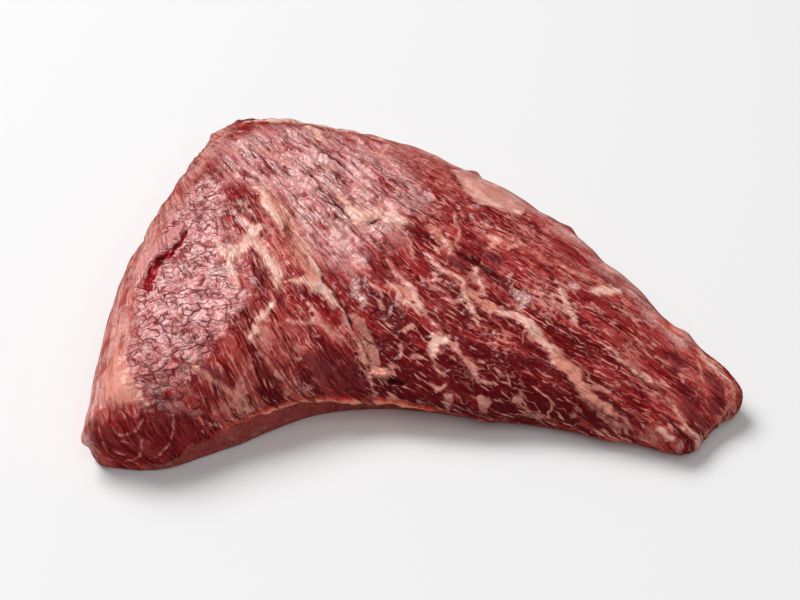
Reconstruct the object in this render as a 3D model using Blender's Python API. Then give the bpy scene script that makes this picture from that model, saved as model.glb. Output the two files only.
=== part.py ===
"""A raw tri-tip roast: one boneless, three-cornered beef muscle, lying on its flat side.

The roast has a broad heel at -X, a high back corner, and an arm that tapers to a narrow tip at +X.
A notch in its front edge parts the heel's lobe from the arm. It is one solid.

It starts as a cube cut into a grid. The cube's four sides become the roast's outline, its top the
crowned upper face, and its underside the flat face that the roast rests on. Units are metres, and
the tables below are in millimetres. The origin is the middle of the base.
"""

import math

import bmesh
import bpy
import numpy as np
from mathutils import Vector, noise

MM = 0.001
NAME = "tri_tip_roast"

# The outline seen from above, from the heel's front corner along the front, the tip, the back and
# the heel. Each station is the widest point there: x, y, the height of that widest line, how far
# the resting face lies inside it, and the height of the upper face just inside the shoulder.
FRONT = [
    (-138, -92, 18, 2, 40),  # heel corner
    (-127, -97, 18, 2, 42),
    (-107, -98, 17, 3, 42),
    (-75, -85, 16, 4, 38),
    (-43, -75, 15, 10, 33),
    (-13, -73, 14, 12, 28),  # notch
    (23, -77, 13, 12, 26),
    (57, -79, 11, 12, 25),
    (91, -87, 10, 11, 22),
]
TIP = [
    (116, -92, 9, 7, 18),  # front corner of the tip
    (125, -84, 9, 5, 19),
    (136, -73, 10, 5, 20),
]
BACK = [
    (142, -63, 12, 6, 22),  # back corner of the tip
    (121, -41, 14, 9, 27),
    (98, -11, 17, 12, 33),
    (73, 20, 19, 13, 38),
    (34, 53, 20, 14, 42),
    (-8, 77, 20, 14, 43),
    (-51, 89, 20, 13, 42),
]
HEEL = [
    (-87, 94, 20, 12, 41),  # high back corner
    (-102, 80, 20, 12, 41),
    (-118, 40, 21, 11, 43),
    (-131, -6, 21, 9, 44),
    (-136, -50, 21, 6, 43),
    (-137, -77, 20, 3, 41),
]
X, Y, RIM, INSET, TOP = range(5)

# How many faces the cube is cut into along its length, its width and its height.
CELLS = (60, 36, 11)
CUBE_EDGE = 2.0  # so that the cube's points run from -1 to 1
SPAN_STEPS = 24  # points on the smooth outline between two stations

# The section through any edge of the roast.
SHOULDER_POWER = 6.0  # the higher, the nearer to the edge the upper face starts to fall
SHOULDER_START = 0.93  # share of the way out where the cube's top ends and its side begins
RIM_LEVEL = -0.15  # where on the cube's side, from 1 down to -1, the widest line lies
UNDERCUT_POWER = 2.6  # the higher, the straighter the wall under the widest line
INWARD = 0.8  # the share of the way out that gives the direction in which the wall leans inwards

# Broad swellings and hollows of the upper face: x, y, height, and the half widths along and across
# a line turned by the last number, in degrees.
CROWN_LIFT = 5.0
SWELLINGS = [
    (-79, 13, 5, 60, 40, 68),  # the heel's crest
    (19, 1, 4.5, 85, 26, -33),  # the arm's ridge
    (-61, -56, 3, 26, 24, 0),  # the lobe in front of the heel
]
# Channels where the fat seams run: half width, depth, and the points along the line.
CHANNELS = [
    (9.0, 3.0, [(-73, 49), (-53, 7), (-35, -19), (-23, -41), (-17, -65)]),  # between heel and arm
    (8.0, 2.2, [(29, -15), (47, -35), (61, -51), (79, -67)]),  # along the arm
    (6.0, 2.5, [(3, 21), (21, 5), (33, -5)]),  # a short split in the arm's grain
    (6.0, 2.5, [(-109, 29), (-118, 19), (-123, 5)]),  # a torn skin on the heel
]
LUMP_SIZE = 26.0  # the natural unevenness of the surface
LUMP_HEIGHT = 1.1
LUMP_FADE = 8.0  # the height below which the unevenness fades, so that the resting face is flat
LUMP_SEED = Vector((3.1, 7.7, 1.9))

NEARLY = 1e-6  # what counts as no difference between two numbers near 1
LEAN_COLOUR = (0.33, 0.045, 0.05, 1.0)
LEAN_ROUGHNESS = 0.38


def smooth_outline():
    """The closed curve through every station, as one dense list of rows of the table's columns."""
    stations = np.array(FRONT + TIP + BACK + HEEL, float)
    before, after = np.roll(stations, 1, axis=0), np.roll(stations, -1, axis=0)
    second = np.roll(stations, -2, axis=0)
    rows = []
    for a, b, c, d in zip(before, stations, after, second):
        for step in range(SPAN_STEPS):
            t = step / SPAN_STEPS
            bend = (2 * a - 5 * b + 4 * c - d) * t * t + (3 * b - 3 * c + d - a) * t**3
            rows.append(b + 0.5 * ((c - a) * t + bend))
    return np.array(rows)


def side_of(outline, first, count):
    """The stretch of the outline that starts at a station, with each row's share of its length."""
    start = first * SPAN_STEPS
    rows = np.roll(outline, -start, axis=0)[: count * SPAN_STEPS + 1]
    steps = np.linalg.norm(np.diff(rows[:, :2], axis=0), axis=1)
    share = np.concatenate([[0.0], np.cumsum(steps)]) / steps.sum()
    return share, rows


def along(side, share):
    """The table's columns at a share of a side's length."""
    shares, rows = side
    return np.array([np.interp(share, shares, column) for column in rows.T])


class Plan:
    """The roast seen from above: a patch stretched between the outline's four sides."""

    def __init__(self):
        outline = smooth_outline()
        counts = [len(FRONT), len(TIP), len(BACK), len(HEEL)]
        starts = np.cumsum([0] + counts[:-1])
        made = [side_of(outline, int(s), c) for s, c in zip(starts, counts)]
        self.front, self.tip, self.back, self.heel = made

    def at(self, u, v):
        """The columns at u from heel to tip and v from front to back, each from -1 to 1."""
        s, t = (u + 1) / 2, (v + 1) / 2
        front, back = along(self.front, s), along(self.back, 1 - s)
        heel, tip = along(self.heel, 1 - t), along(self.tip, t)
        low_left, low_right = along(self.front, 0), along(self.front, 1)
        high_left, high_right = along(self.back, 1), along(self.back, 0)
        near = (1 - s) * low_left + s * low_right
        far = (1 - s) * high_left + s * high_right
        blend = (1 - t) * (front - near) + t * (back - far) + (1 - s) * heel + s * tip
        return blend.tolist()


def swelling(x, y):
    """How much the broad swellings raise the upper face at a point."""
    height = 0.0
    for cx, cy, lift, long_half, short_half, turn in SWELLINGS:
        angle = math.radians(turn)
        dx, dy = x - cx, y - cy
        p = (dx * math.cos(angle) + dy * math.sin(angle)) / long_half
        q = (dy * math.cos(angle) - dx * math.sin(angle)) / short_half
        height += lift * math.exp(-p * p - q * q)
    return height


def distance_to_line(x, y, points):
    """The distance, seen from above, from a point to a line through a few points."""
    place = Vector((x, y))
    nearest = math.inf
    for a, b in zip(points, points[1:]):
        start, run = Vector(a), Vector(b) - Vector(a)
        share = max(0.0, min(1.0, (place - start).dot(run) / run.length_squared))
        nearest = min(nearest, (place - start - share * run).length)
    return nearest


def channel(x, y):
    """How deep the seams' channels are at a point."""
    depth = 0.0
    for half_width, deepest, points in CHANNELS:
        reach = distance_to_line(x, y, points) / half_width
        depth = max(depth, deepest * math.exp(-reach * reach))
    return depth


def on_crown(plan, u, v, share, rise):
    """A point at or above the widest line, a share of the way out towards the edge at (u, v).

    The rise is the share of the height from the widest line there up to the crown.
    """
    rim = plan.at(u, v)[RIM]
    spot = plan.at(u * share, v * share)
    x, y = spot[X], spot[Y]
    crown = spot[TOP] + CROWN_LIFT * (1 - share * share) + swelling(x, y) - channel(x, y)
    return Vector((x, y, rim + (crown - rim) * rise))


def on_wall(plan, u, v, angle):
    """A point under the edge at (u, v); the angle is 0 at the widest line, 90 degrees at the foot."""
    edge, inner = plan.at(u, v), plan.at(u * INWARD, v * INWARD)
    inward = Vector((inner[X] - edge[X], inner[Y] - edge[Y], 0)).normalized()
    power = 2 / UNDERCUT_POWER
    inset = edge[INSET] * (1 - max(0.0, math.cos(angle)) ** power)
    height = edge[RIM] * (1 - math.sin(angle) ** power)
    return Vector((edge[X], edge[Y], height)) + inset * inward


def placed(plan, u, v, w):
    """Where a point of the cube goes on the roast, in millimetres."""
    reach = max(abs(u), abs(v), NEARLY)
    u, v = u / reach, v / reach
    if w > 1 - NEARLY:
        share = SHOULDER_START * reach
        return on_crown(plan, u, v, share, math.sqrt(1 - share**SHOULDER_POWER))
    if w > RIM_LEVEL:
        shoulder_angle = math.acos(SHOULDER_START ** (SHOULDER_POWER / 2))
        angle = shoulder_angle * (w - RIM_LEVEL) / (1 - RIM_LEVEL)
        return on_crown(plan, u, v, math.cos(angle) ** (2 / SHOULDER_POWER), math.sin(angle))
    foot_angle = math.radians(90)
    if w > NEARLY - 1:
        return on_wall(plan, u, v, foot_angle * (RIM_LEVEL - w) / (RIM_LEVEL + 1))
    middle = plan.at(0, 0)
    centre = Vector((middle[X], middle[Y], 0))
    return centre.lerp(on_wall(plan, u, v, foot_angle), reach)


def add_unevenness(bm):
    """Lumps over the whole surface, fading out where it meets the table."""
    bm.normal_update()
    moves = []
    for vert in bm.verts:
        lump = noise.noise(vert.co / (LUMP_SIZE * MM) + LUMP_SEED) * LUMP_HEIGHT * MM
        clear_of_table = min(1.0, vert.co.z / (LUMP_FADE * MM))
        moves.append(vert.normal * lump * clear_of_table)
    for vert, move in zip(bm.verts, moves):
        vert.co += move


def join_resting_face(bm):
    """The faces that lie on the table become one flat face."""
    flat = [f for f in bm.faces if all(abs(v.co.z) < NEARLY for v in f.verts)]
    bmesh.ops.dissolve_faces(bm, faces=flat, use_verts=True)


def centre_over_origin(bm):
    """Moves the roast so that the origin is the middle of its outline's box, on the table."""
    spots = np.array([v.co for v in bm.verts])
    middle = (spots.min(0) + spots.max(0)) / 2
    bmesh.ops.translate(bm, verts=bm.verts, vec=Vector((-middle[0], -middle[1], 0)))


def grid_cube():
    """A cube whose faces are cut into a grid."""
    bm = bmesh.new()
    bmesh.ops.create_cube(bm, size=CUBE_EDGE)
    for axis, cells in enumerate(CELLS):
        uncut = [
            edge
            for edge in bm.edges
            if abs((edge.verts[0].co - edge.verts[1].co)[axis]) > CUBE_EDGE / 2
        ]
        bmesh.ops.subdivide_edges(bm, edges=uncut, cuts=cells - 1, use_grid_fill=True)
    return bm


def roast_mesh():
    bm = grid_cube()
    plan = Plan()
    for vert in bm.verts:
        vert.co = placed(plan, *vert.co) * MM
    add_unevenness(bm)
    join_resting_face(bm)
    centre_over_origin(bm)
    mesh = bpy.data.meshes.new(NAME)
    bm.to_mesh(mesh)
    bm.free()
    mesh.shade_smooth()
    return mesh


def lean_meat():
    material = bpy.data.materials.new("raw_lean_beef")
    material.use_nodes = True
    surface = material.node_tree.nodes["Principled BSDF"]
    surface.inputs["Base Color"].default_value = LEAN_COLOUR
    surface.inputs["Roughness"].default_value = LEAN_ROUGHNESS
    surface.inputs["Metallic"].default_value = 0.0
    return material


def main():
    for old in list(bpy.data.objects):
        bpy.data.objects.remove(old, do_unlink=True)
    collection = bpy.data.collections.new("raw_tri_tip_roast")
    bpy.context.scene.collection.children.link(collection)
    roast = bpy.data.objects.new(NAME, roast_mesh())
    roast.data.materials.append(lean_meat())
    collection.objects.link(roast)


main()
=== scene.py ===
import math

import bmesh
import bpy
import numpy as np
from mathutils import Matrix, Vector, noise


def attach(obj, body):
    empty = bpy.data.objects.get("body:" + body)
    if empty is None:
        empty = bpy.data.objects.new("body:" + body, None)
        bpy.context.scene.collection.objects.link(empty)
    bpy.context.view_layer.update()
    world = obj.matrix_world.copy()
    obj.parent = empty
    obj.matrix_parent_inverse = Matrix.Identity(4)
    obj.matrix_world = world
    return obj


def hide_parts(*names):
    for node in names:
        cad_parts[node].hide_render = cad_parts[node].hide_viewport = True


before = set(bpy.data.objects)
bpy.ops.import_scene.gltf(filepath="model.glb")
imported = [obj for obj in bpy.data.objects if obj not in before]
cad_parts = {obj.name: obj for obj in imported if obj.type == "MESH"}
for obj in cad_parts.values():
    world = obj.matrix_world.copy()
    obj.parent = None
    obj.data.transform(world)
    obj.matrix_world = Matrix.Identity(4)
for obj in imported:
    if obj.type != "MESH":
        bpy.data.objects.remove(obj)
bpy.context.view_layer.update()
mm = 0.001


# ---- camera, light and floor

studio = {
    "target": (-0.0081, -0.0153, 0.020),  # what the camera looks at
    "elevation": 48.0,  # degrees above the floor
    "distance": 0.70,
    "lens": 70.0,
    "world": 0.22,
    "floorColour": (0.80, 0.80, 0.80, 1.0),
    "keyPlace": (-1.35, 1.10, 2.45),
    "keySize": 1.5,
    "keyPower": 84.0,
    "fillPlace": (0.25, -0.80, 1.70),
    "fillSize": 1.5,
    "fillPower": 9.6,
    "floorSize": 3.0,  # half its side
    "floorDrop": 0.2,  # millimetres below the roast
    "floorRoughness": 0.7,
    "floorSpecular": 0.2,
}


def softbox(name, place, size, power):
    light = bpy.data.lights.new(name, "AREA")
    light.shape = "SQUARE"
    light.size = size
    light.energy = power
    lamp = bpy.data.objects.new(name, light)
    bpy.context.scene.collection.objects.link(lamp)
    lamp.location = place
    lamp.rotation_euler = (Vector((0, 0, 0)) - Vector(place)).to_track_quat("-Z", "Y").to_euler()
    return lamp


def buildStudio():
    scene = bpy.context.scene
    angle = math.radians(studio["elevation"])
    lens = bpy.data.cameras.new("camera")
    lens.lens = studio["lens"]
    camera = bpy.data.objects.new("camera", lens)
    scene.collection.objects.link(camera)
    away = Vector((0, -math.cos(angle), math.sin(angle))) * studio["distance"]
    camera.location = Vector(studio["target"]) + away
    camera.rotation_euler = (math.pi / 2 - angle, 0, 0)
    scene.camera = camera
    scene.view_settings.view_transform = "Standard"

    softbox("keyLight", studio["keyPlace"], studio["keySize"], studio["keyPower"])
    fill = softbox("fillLight", studio["fillPlace"], studio["fillSize"], studio["fillPower"])
    fill.visible_glossy = False
    world = bpy.data.worlds.new("studioWorld")
    scene.world = world
    world.use_nodes = True
    world.cycles_visibility.glossy = False
    sky = world.node_tree.nodes["Background"]
    sky.inputs["Color"].default_value = (1, 1, 1, 1)
    sky.inputs["Strength"].default_value = studio["world"]

    bm = bmesh.new()
    bmesh.ops.create_grid(bm, x_segments=1, y_segments=1, size=studio["floorSize"])
    bmesh.ops.translate(bm, verts=bm.verts, vec=(0, 0, -studio["floorDrop"] * mm))
    mesh = bpy.data.meshes.new("floor")
    bm.to_mesh(mesh)
    bm.free()
    floor = bpy.data.objects.new("floor", mesh)
    scene.collection.objects.link(floor)
    paint = Shader("paleFloor")
    paint.feed(paint.surface.inputs["Base Color"], studio["floorColour"])
    paint.feed(paint.surface.inputs["Roughness"], studio["floorRoughness"])
    paint.feed(paint.surface.inputs["Specular IOR Level"], studio["floorSpecular"])
    mesh.materials.append(paint.material)
    floor.visible_glossy = False
    print("studio ready")


# ---- shader maths

class Signal:  # a node's socket that can be used in a sum
    def __init__(self, shader, socket):
        self.shader = shader
        self.socket = socket

    def sum(self, operation, first, second):
        return self.shader.node("Math", {"operation": operation}, {0: first, 1: second})

    def __add__(self, other):
        return self.sum("ADD", self, other)

    def __radd__(self, other):
        return self.sum("ADD", other, self)

    def __sub__(self, other):
        return self.sum("SUBTRACT", self, other)

    def __rsub__(self, other):
        return self.sum("SUBTRACT", other, self)

    def __mul__(self, other):
        return self.sum("MULTIPLY", self, other)

    def __rmul__(self, other):
        return self.sum("MULTIPLY", other, self)

    def __abs__(self):
        return self.sum("ABSOLUTE", self, 0.0)

    def orMore(self, other):
        return self.sum("MAXIMUM", self, other)

    def step(self, low, high):  # 0 below low, 1 above high, smooth between
        return self.shader.node("MapRange", {"interpolation_type": "SMOOTHSTEP"},
                                {"Value": self, "From Min": low, "From Max": high})


class Shader:
    def __init__(self, name):
        self.material = bpy.data.materials.new(name)
        self.material.use_nodes = True
        self.tree = self.material.node_tree
        self.surface = self.tree.nodes["Principled BSDF"]

    def feed(self, socket, value):
        if isinstance(value, Signal):
            self.tree.links.new(value.socket, socket)
        else:
            socket.default_value = value

    def node(self, kind, settings=None, sockets=None, output=0):
        made = self.tree.nodes.new("ShaderNode" + kind)
        for name, value in (settings or {}).items():
            setattr(made, name, value)
        for name, value in (sockets or {}).items():
            self.feed(made.inputs[name], value)
        return Signal(self, made.outputs[output])

    def attribute(self, name, output="Fac"):
        return self.node("Attribute", {"attribute_name": name}, output=output)

    def scaled(self, space, sizes, shift):
        # the space measured in features of these sizes, moved so that two patterns don't match
        sizes = tuple(sizes) + (1.0,) * (3 - len(sizes))
        return self.node("Mapping", {}, {"Vector": space, "Location": (shift, shift * 0.7, shift * 1.3),
                                         "Scale": tuple(1 / size for size in sizes)})

    def noise(self, space, sizes, detail=2.0, rough=0.5, shift=0.0, output="Fac"):
        return self.node("TexNoise", {"noise_dimensions": "3D"},
                         {"Vector": self.scaled(space, sizes, shift), "Scale": 1.0, "Detail": detail,
                          "Roughness": rough}, output=output)

    def flow(self, space, sizes, detail=2.0, rough=0.5, shift=0.0):
        return self.node("TexNoise", {"noise_dimensions": "2D"},
                         {"Vector": self.scaled(space, sizes, shift), "Scale": 1.0, "Detail": detail,
                          "Roughness": rough})

    def gap(self, space, sizes, shift=0.0, dimensions="2D"):  # from 0 on the cracks between cells
        return self.node("TexVoronoi", {"feature": "DISTANCE_TO_EDGE", "voronoi_dimensions": dimensions},
                         {"Vector": self.scaled(space, sizes, shift), "Scale": 1.0})

    def mix(self, first, second, share):
        return self.node("Mix", {"data_type": "RGBA"}, {0: share, 6: first, 7: second}, output=2)

    def shade(self, colour, share):  # a colour times a number
        grey = self.node("CombineColor", {}, {0: share, 1: share, 2: share})
        return self.node("Mix", {"data_type": "RGBA", "blend_type": "MULTIPLY"},
                         {0: 1.0, 6: colour, 7: grey}, output=2)


# ---- the roast: where its features lie, in millimetres

# Strips of pale fat. Each spot is x, y, half width, or x, y, z, half width where the side is steep.
fatStrips = {
    "seamRope": [(-71, 34, 0.8), (-70, 28, 1.8), (-69, 21, 2.6), (-67, 15, 3.0), (-65, 11, 2.8),
                 (-62, 6, 2.5), (-61, 2, 1.6), (-60, -4, 0.6)],
    "seamBranch": [(-76, 28, 1.6), (-72, 27, 1.8)],
    "seamEdge": [(-67, 24, 0.9), (-63, 18, 1.4), (-60, 13, 1.6), (-57, 8, 1.6), (-54, 1, 1.6),
                 (-51, -4, 1.8), (-48, -10, 2.0), (-46, -16, 2.2), (-44, -22, 2.6)],
    "seamMass": [(-56, -28, 0.8), (-51, -28, 2.6), (-46, -27, 4.2), (-42, -30, 4.0), (-38, -34, 2.6)],
    "seamLower": [(-38, -34, 2.2), (-35, -37, 1.8), (-33, -39, 1.5), (-31, -43, 1.3), (-29, -47, 1.2),
                  (-26, -52, 1.1), (-24, -55, 1.0), (-22, -60, 1.0), (-20, -66, 0.9), (-19, -69, 0.9)],
    "blotchBand": [(-91, -3, 0.8), (-88, -9, 2.0), (-84, -14, 3.4), (-80, -14, 3.4), (-77, -12, 3.6),
                   (-74, -7, 4.0), (-73, -2, 4.2), (-70, 1, 2.8)],
    "blotchUp": [(-81, 11, 0.8), (-77, 5, 1.4), (-74, 1, 2.0)],
    "blotchLeft": [(-83, -16, 2.4), (-82, -21, 2.2), (-80, -26, 2.2), (-78, -32, 1.4), (-77, -38, 0.7)],
    "blotchDown": [(-70, -9, 3.2), (-67, -15, 3.0), (-64, -21, 3.4), (-61, -25, 3.6), (-61, -29, 2.4),
                   (-61, -34, 1.2)],
    "blotchEnd": [(-62, -41, 1.0), (-65, -46, 2.0), (-67, -49, 2.2)],
    "blotchTip": [(-68, -54, 2.2), (-71, -57, 1.8)],
    "upperBlob": [(-41, 24, 0.6), (-36, 21, 1.2), (-33, 17, 2.4), (-29.5, 12.5, 3.8), (-26.5, 9, 5.0),
                  (-23.5, 10, 4.6), (-20, 11, 3.4), (-16, 11, 3.2), (-12, 8.8, 4.6), (-8.5, 6.2, 4.0),
                  (-6, 5.5, 2.2)],
    "veinNorth": [(-14, -13, 0.8), (-11, -17, 0.9), (-9, -20, 1.0), (-7, -23, 1.4), (-4.5, -26, 2.0),
                  (-2.5, -30, 2.2), (0, -33.5, 2.0), (3, -38, 1.0)],
    "veinWest": [(-13.5, -23.5, 0.7), (-11.5, -25.5, 1.1), (-9.5, -28, 1.4), (-7, -31.5, 1.7),
                 (-4.5, -34, 1.7), (-1, -37, 1.3), (4, -41, 0.8), (7, -44, 1.0), (9, -47, 1.8)],
    "veinEast": [(3, -9, 0.5), (6.5, -13.6, 1.4), (10, -17, 1.3), (15, -20, 1.3), (19, -24, 1.8),
                 (20, -28, 1.5), (22, -34, 1.9), (25, -41, 1.0), (26, -44, 0.6)],
    "armBlob": [(12, -50, 2.2), (8, -50, 3.0), (6, -54, 2.2), (5, -57, 1.6), (7, -61, 0.8),
                (9, -64, 0.5)],
    "armSeam": [(33, -37, 1.4), (37, -38, 2.0), (42, -40, 3.0), (47, -43, 3.0), (50, -47, 3.0),
                (53, -50, 2.4), (55, -53, 2.6), (58, -57, 3.4)],
    "armRing": [(27, -14, 0.9), (25, -19, 2.0), (27, -25, 1.2), (30, -29, 0.8)],
    "armStrands": [(54, -28, 1.0), (59, -29, 1.2), (58, -33, 1.2), (56, -37, 0.9)],
    "armStrandsTwo": [(60, -22, 0.8), (63, -27, 1.2), (63, -33, 1.7), (67, -39, 2.2), (68, -42, 0.9)],
    "backPatch": [(78, -25, 2.4), (83, -24, 2.8), (88, -24, 2.4)],
    "cord": [(81, -53, 0.8), (85, -56.5, 1.2), (89, -59, 0.8), (93, -61, 1.2), (96, -64, 1.4),
             (99, -66, 1.3), (102, -66.5, 0.9)],
    "cordEnd": [(97, -71.5, 0.6), (101, -72, 0.8), (104.5, -73, 0.9), (107, -74.5, 0.9),
                (109.5, -76.5, 1.0), (111, -79.5, 1.3), (113, -83, 1.7), (116, -84.8, 1.7),
                (118.8, -86, 1.3), (118.5, -89, 0.9)],
    "tipPatch": [(97, -87, 17, 1.0), (102, -87, 18, 1.8), (107, -89, 15, 1.2)],
    "tipRim": [(120, -48, 1.0), (126, -53, 1.6), (130, -57, 1.5), (134, -61, 1.3), (136, -64, 0.9)],
    "topStrip": [(-84, 86, 1.2), (-76, 86, 2.6), (-66, 84, 3.4), (-56, 82, 3.6), (-46, 79, 3.0),
                 (-36, 77, 2.4), (-26, 74, 1.8), (-16, 71, 1.2)],
    "topStripTwo": [(-52, 75, 1.8), (-47, 69, 2.2), (-44, 62, 1.4)],
    "heelTop": [(-84, 76, 40, 1.0), (-92, 79, 35, 1.4), (-99, 72, 34, 2.2), (-105, 62, 34, 1.2)],
    "leftChain": [(-124, 15, 1.2), (-123, 4, 1.6), (-123, -5, 1.4), (-124, -14, 1.8), (-125, -19, 1.4)],
    "cornerTail": [(-120, -82, 3.0), (-116, -84, 2.2), (-113, -87, 1.4)],
}
# Fat that is stained orange or lies under a thin layer of lean.
warmStrips = {
    "seamOrange": [(-66, 17, 1.8), (-62, 12, 2.2), (-58, 6, 1.9), (-55, 0, 1.6), (-53, -6, 2.0),
                   (-53, -11, 2.2), (-51, -15, 2.0), (-48, -20, 2.4), (-46, -25, 3.0)],
    "middleGlow": [(-10, -26, 1.2), (-6, -28, 2.4), (-4, -30, 1.8)],
    "armGlow": [(20, -26, 1.0), (24, -30, 2.0), (29, -34, 2.2), (33, -37, 2.0)],
    "blobTail": [(5, 3, 1.4), (8, 2.5, 2.0), (11, -1.5, 1.6), (14, -4.5, 1.4), (16.5, -7.5, 0.9)],
    "armSeamLow": [(59, -58, 3.6), (62, -61.5, 4.0), (65, -64, 3.2), (67, -68, 2.6), (71, -73, 2.2),
                   (75, -76, 1.8), (80, -79, 1.2), (84, -82, 0.6), (89, -85, 0.3)],
    "tipRimLow": [(136, -65, 0.8), (135, -69, 0.9), (131, -74, 0.8), (127, -79, 0.6), (123, -82, 0.4)],
    "backStrip": [(64, -15, 0.8), (72, -18, 1.4), (78, -20, 1.4), (85, -21, 1.0)],
    "cornerSkin": [(-127, -60, 2.6), (-127, -71, 6.0), (-126, -78, 7.2), (-121, -82, 5.6)],
    "notchNub": [(-20, -60, 1.0), (-17, -62, 1.5), (-13, -63, 1.3)],
    "cornerLine": [(-96, -67, 43, 0.8), (-94, -70, 42, 1.1), (-91, -73, 40, 1.4), (-87, -75, 37, 1.5),
                   (-83, -76, 34, 1.5), (-77, -78, 30, 1.6), (-74, -80, 25, 2.2), (-72, -81, 22, 2.0)],
    "cornerWedge": [(-79, -85, 17, 1.6), (-74, -83, 20, 2.2), (-71, -81, 22, 1.8)],
    "notchRim": [(-12, -71, 1.5), (-5, -75, 1.2), (0, -76, 0.7)],
}
# Thin fat veins in the lean, and small spots of fat.
fatVeins = {
    "lobeVein": [(-46, -40, 0.5), (-44, -45, 0.8), (-42, -48, 1.5), (-39, -50, 1.3), (-36, -50, 1.2),
                 (-33, -51, 0.9), (-31, -53, 0.5)],
    "lobeTwig": [(-50, -49, 0.5), (-48, -48, 0.9), (-44, -47, 1.4)],
    "lobeSpotA": [(-56, -48, 1.1), (-52, -48, 0.9)],
    "lobeSpotB": [(-44, -53, 1.0), (-42, -53, 0.9)],
    "lobeThread": [(-57, -61, 0.6), (-54, -62, 0.6), (-50, -62, 0.6)],
    "lobeStreak": [(-61, -68, 1.0), (-57, -70, 1.0)],
    "armVeinC": [(13, -51, 1.5), (17, -56, 0.9), (20, -59, 1.0), (23, -62, 2.0), (25, -66, 1.2)],
    "armVeinD": [(26, -67, 0.7), (30, -68, 0.7), (33, -69, 0.5)],
    "armVeinE": [(32, -62, 0.7), (35, -65, 1.0), (37, -66, 0.7)],
    "armVeinF": [(-8, -52, 1.1), (-8, -57, 0.8)],
    "armVeinG": [(-2, -57, 1.3), (1, -57, 1.1)],
    "armVeinH": [(5, -67, 0.6), (9, -69, 0.8), (12, -68, 0.6)],
    "armVeinI": [(-3, -44, 1.6), (-6, -46, 1.4)],
    "armVeinJ": [(22, -77, 1.1), (27, -79, 1.1)],
    "armVeinK": [(30, -78, 1.3), (38, -79, 1.3)],
    "armSpots": [(27, -74, 1.8), (29, -74, 1.8)],
    "armSpotsTwo": [(41, -73, 1.4), (43, -73, 1.4)],
    "armSpotsThree": [(11, -72, 1.2), (13, -72, 1.2)],
    "armVeinL": [(10, -31, 0.8), (16, -33, 1.3), (20, -32, 1.6)],
    "armVeinM": [(0, -23, 0.6), (6, -22.5, 0.8), (10, -22, 0.6)],
    "armVeinN": [(5, -26, 0.7), (8, -25.5, 1.1), (13, -28, 0.5)],
    "armVeinO": [(-20, -26, 1.2), (-17.5, -28, 1.2), (-16, -31, 0.6)],
    "armVeinP": [(-17.5, -33, 0.9), (-16, -36, 1.2)],
    "armVeinQ": [(2, 17, 0.5), (5, 14, 1.1), (7.5, 12, 0.6)],
    "armVeinR": [(5.5, 29, 1.0), (7, 25, 0.9), (9, 21, 0.5)],
    "armVeinS": [(12, 25.5, 0.6), (16.5, 21.5, 0.7)],
    "armVeinT": [(0, 32, 1.1), (1, 29, 1.0)],
    "middleVein": [(16, 15, 0.6), (17, 11, 1.0), (17.5, 7, 1.1), (18, 3, 0.9), (18.5, 0, 0.6),
                   (16, -4, 0.5)],
    "middleVeinTwo": [(-5, 0, 0.5), (-3.5, -4, 0.7), (-2.6, -8, 1.0), (-2.2, -12, 0.9)],
    "hook": [(47, -46, 1.2), (45, -48, 0.9), (45, -52, 0.6)],
    "armRing": [(51, -31, 0.7), (55, -34, 1.1), (52, -26, 0.6), (54, -24, 0.6)],
    "armFleck": [(31, -5, 0.9), (36, 0, 2.2), (32, 2, 1.0)],
    "curl": [(70, -34, 0.7), (74, -34, 0.8), (78, -35, 0.8), (78, -37, 0.7)],
    "heelVeinA": [(-84, 47, 0.5), (-78, 43, 0.9), (-71, 38, 0.7)],
    "heelVeinB": [(-82, 62, 0.4), (-73, 56, 0.7), (-66, 49, 0.8), (-60, 43, 0.6)],
    "backVeinA": [(-13, 65, 1.1), (-17, 54, 1.3), (-23, 52, 0.8)],
    "backVeinB": [(40, -6, 1.2), (45, -1, 1.5), (50, -3, 0.8)],
    "rightVeinA": [(86, -33, 0.8), (95, -38, 0.8), (103, -40, 0.5)],
    "rightVeinB": [(94, -47, 1.2), (96, -50, 0.6), (99, -53, 0.7), (102.5, -54.5, 0.7)],
    "rightVeinC": [(120.3, -53, 0.8), (121.5, -58, 1.0), (122.5, -63, 0.8)],
    "rightVeinD": [(104, -55, 0.4), (105, -58.5, 0.8)],
    "rightVeinE": [(113.5, -58.5, 0.7), (117, -58, 0.5)],
    "rightVeinF": [(112, -62, 1.3), (113, -64, 1.0)],
    "rightVeinG": [(131, -63, 0.4), (133, -66, 0.45), (132, -69, 0.3)],
    "rightSpotA": [(105.5, -84.5, 1.1), (106.5, -86, 1.1)],
    "rightSpotB": [(121, -85, 1.2), (122.5, -86, 1.0)],
    "rightSpotC": [(75, -70, 1.1), (81, -72, 0.9)],
}
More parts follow.
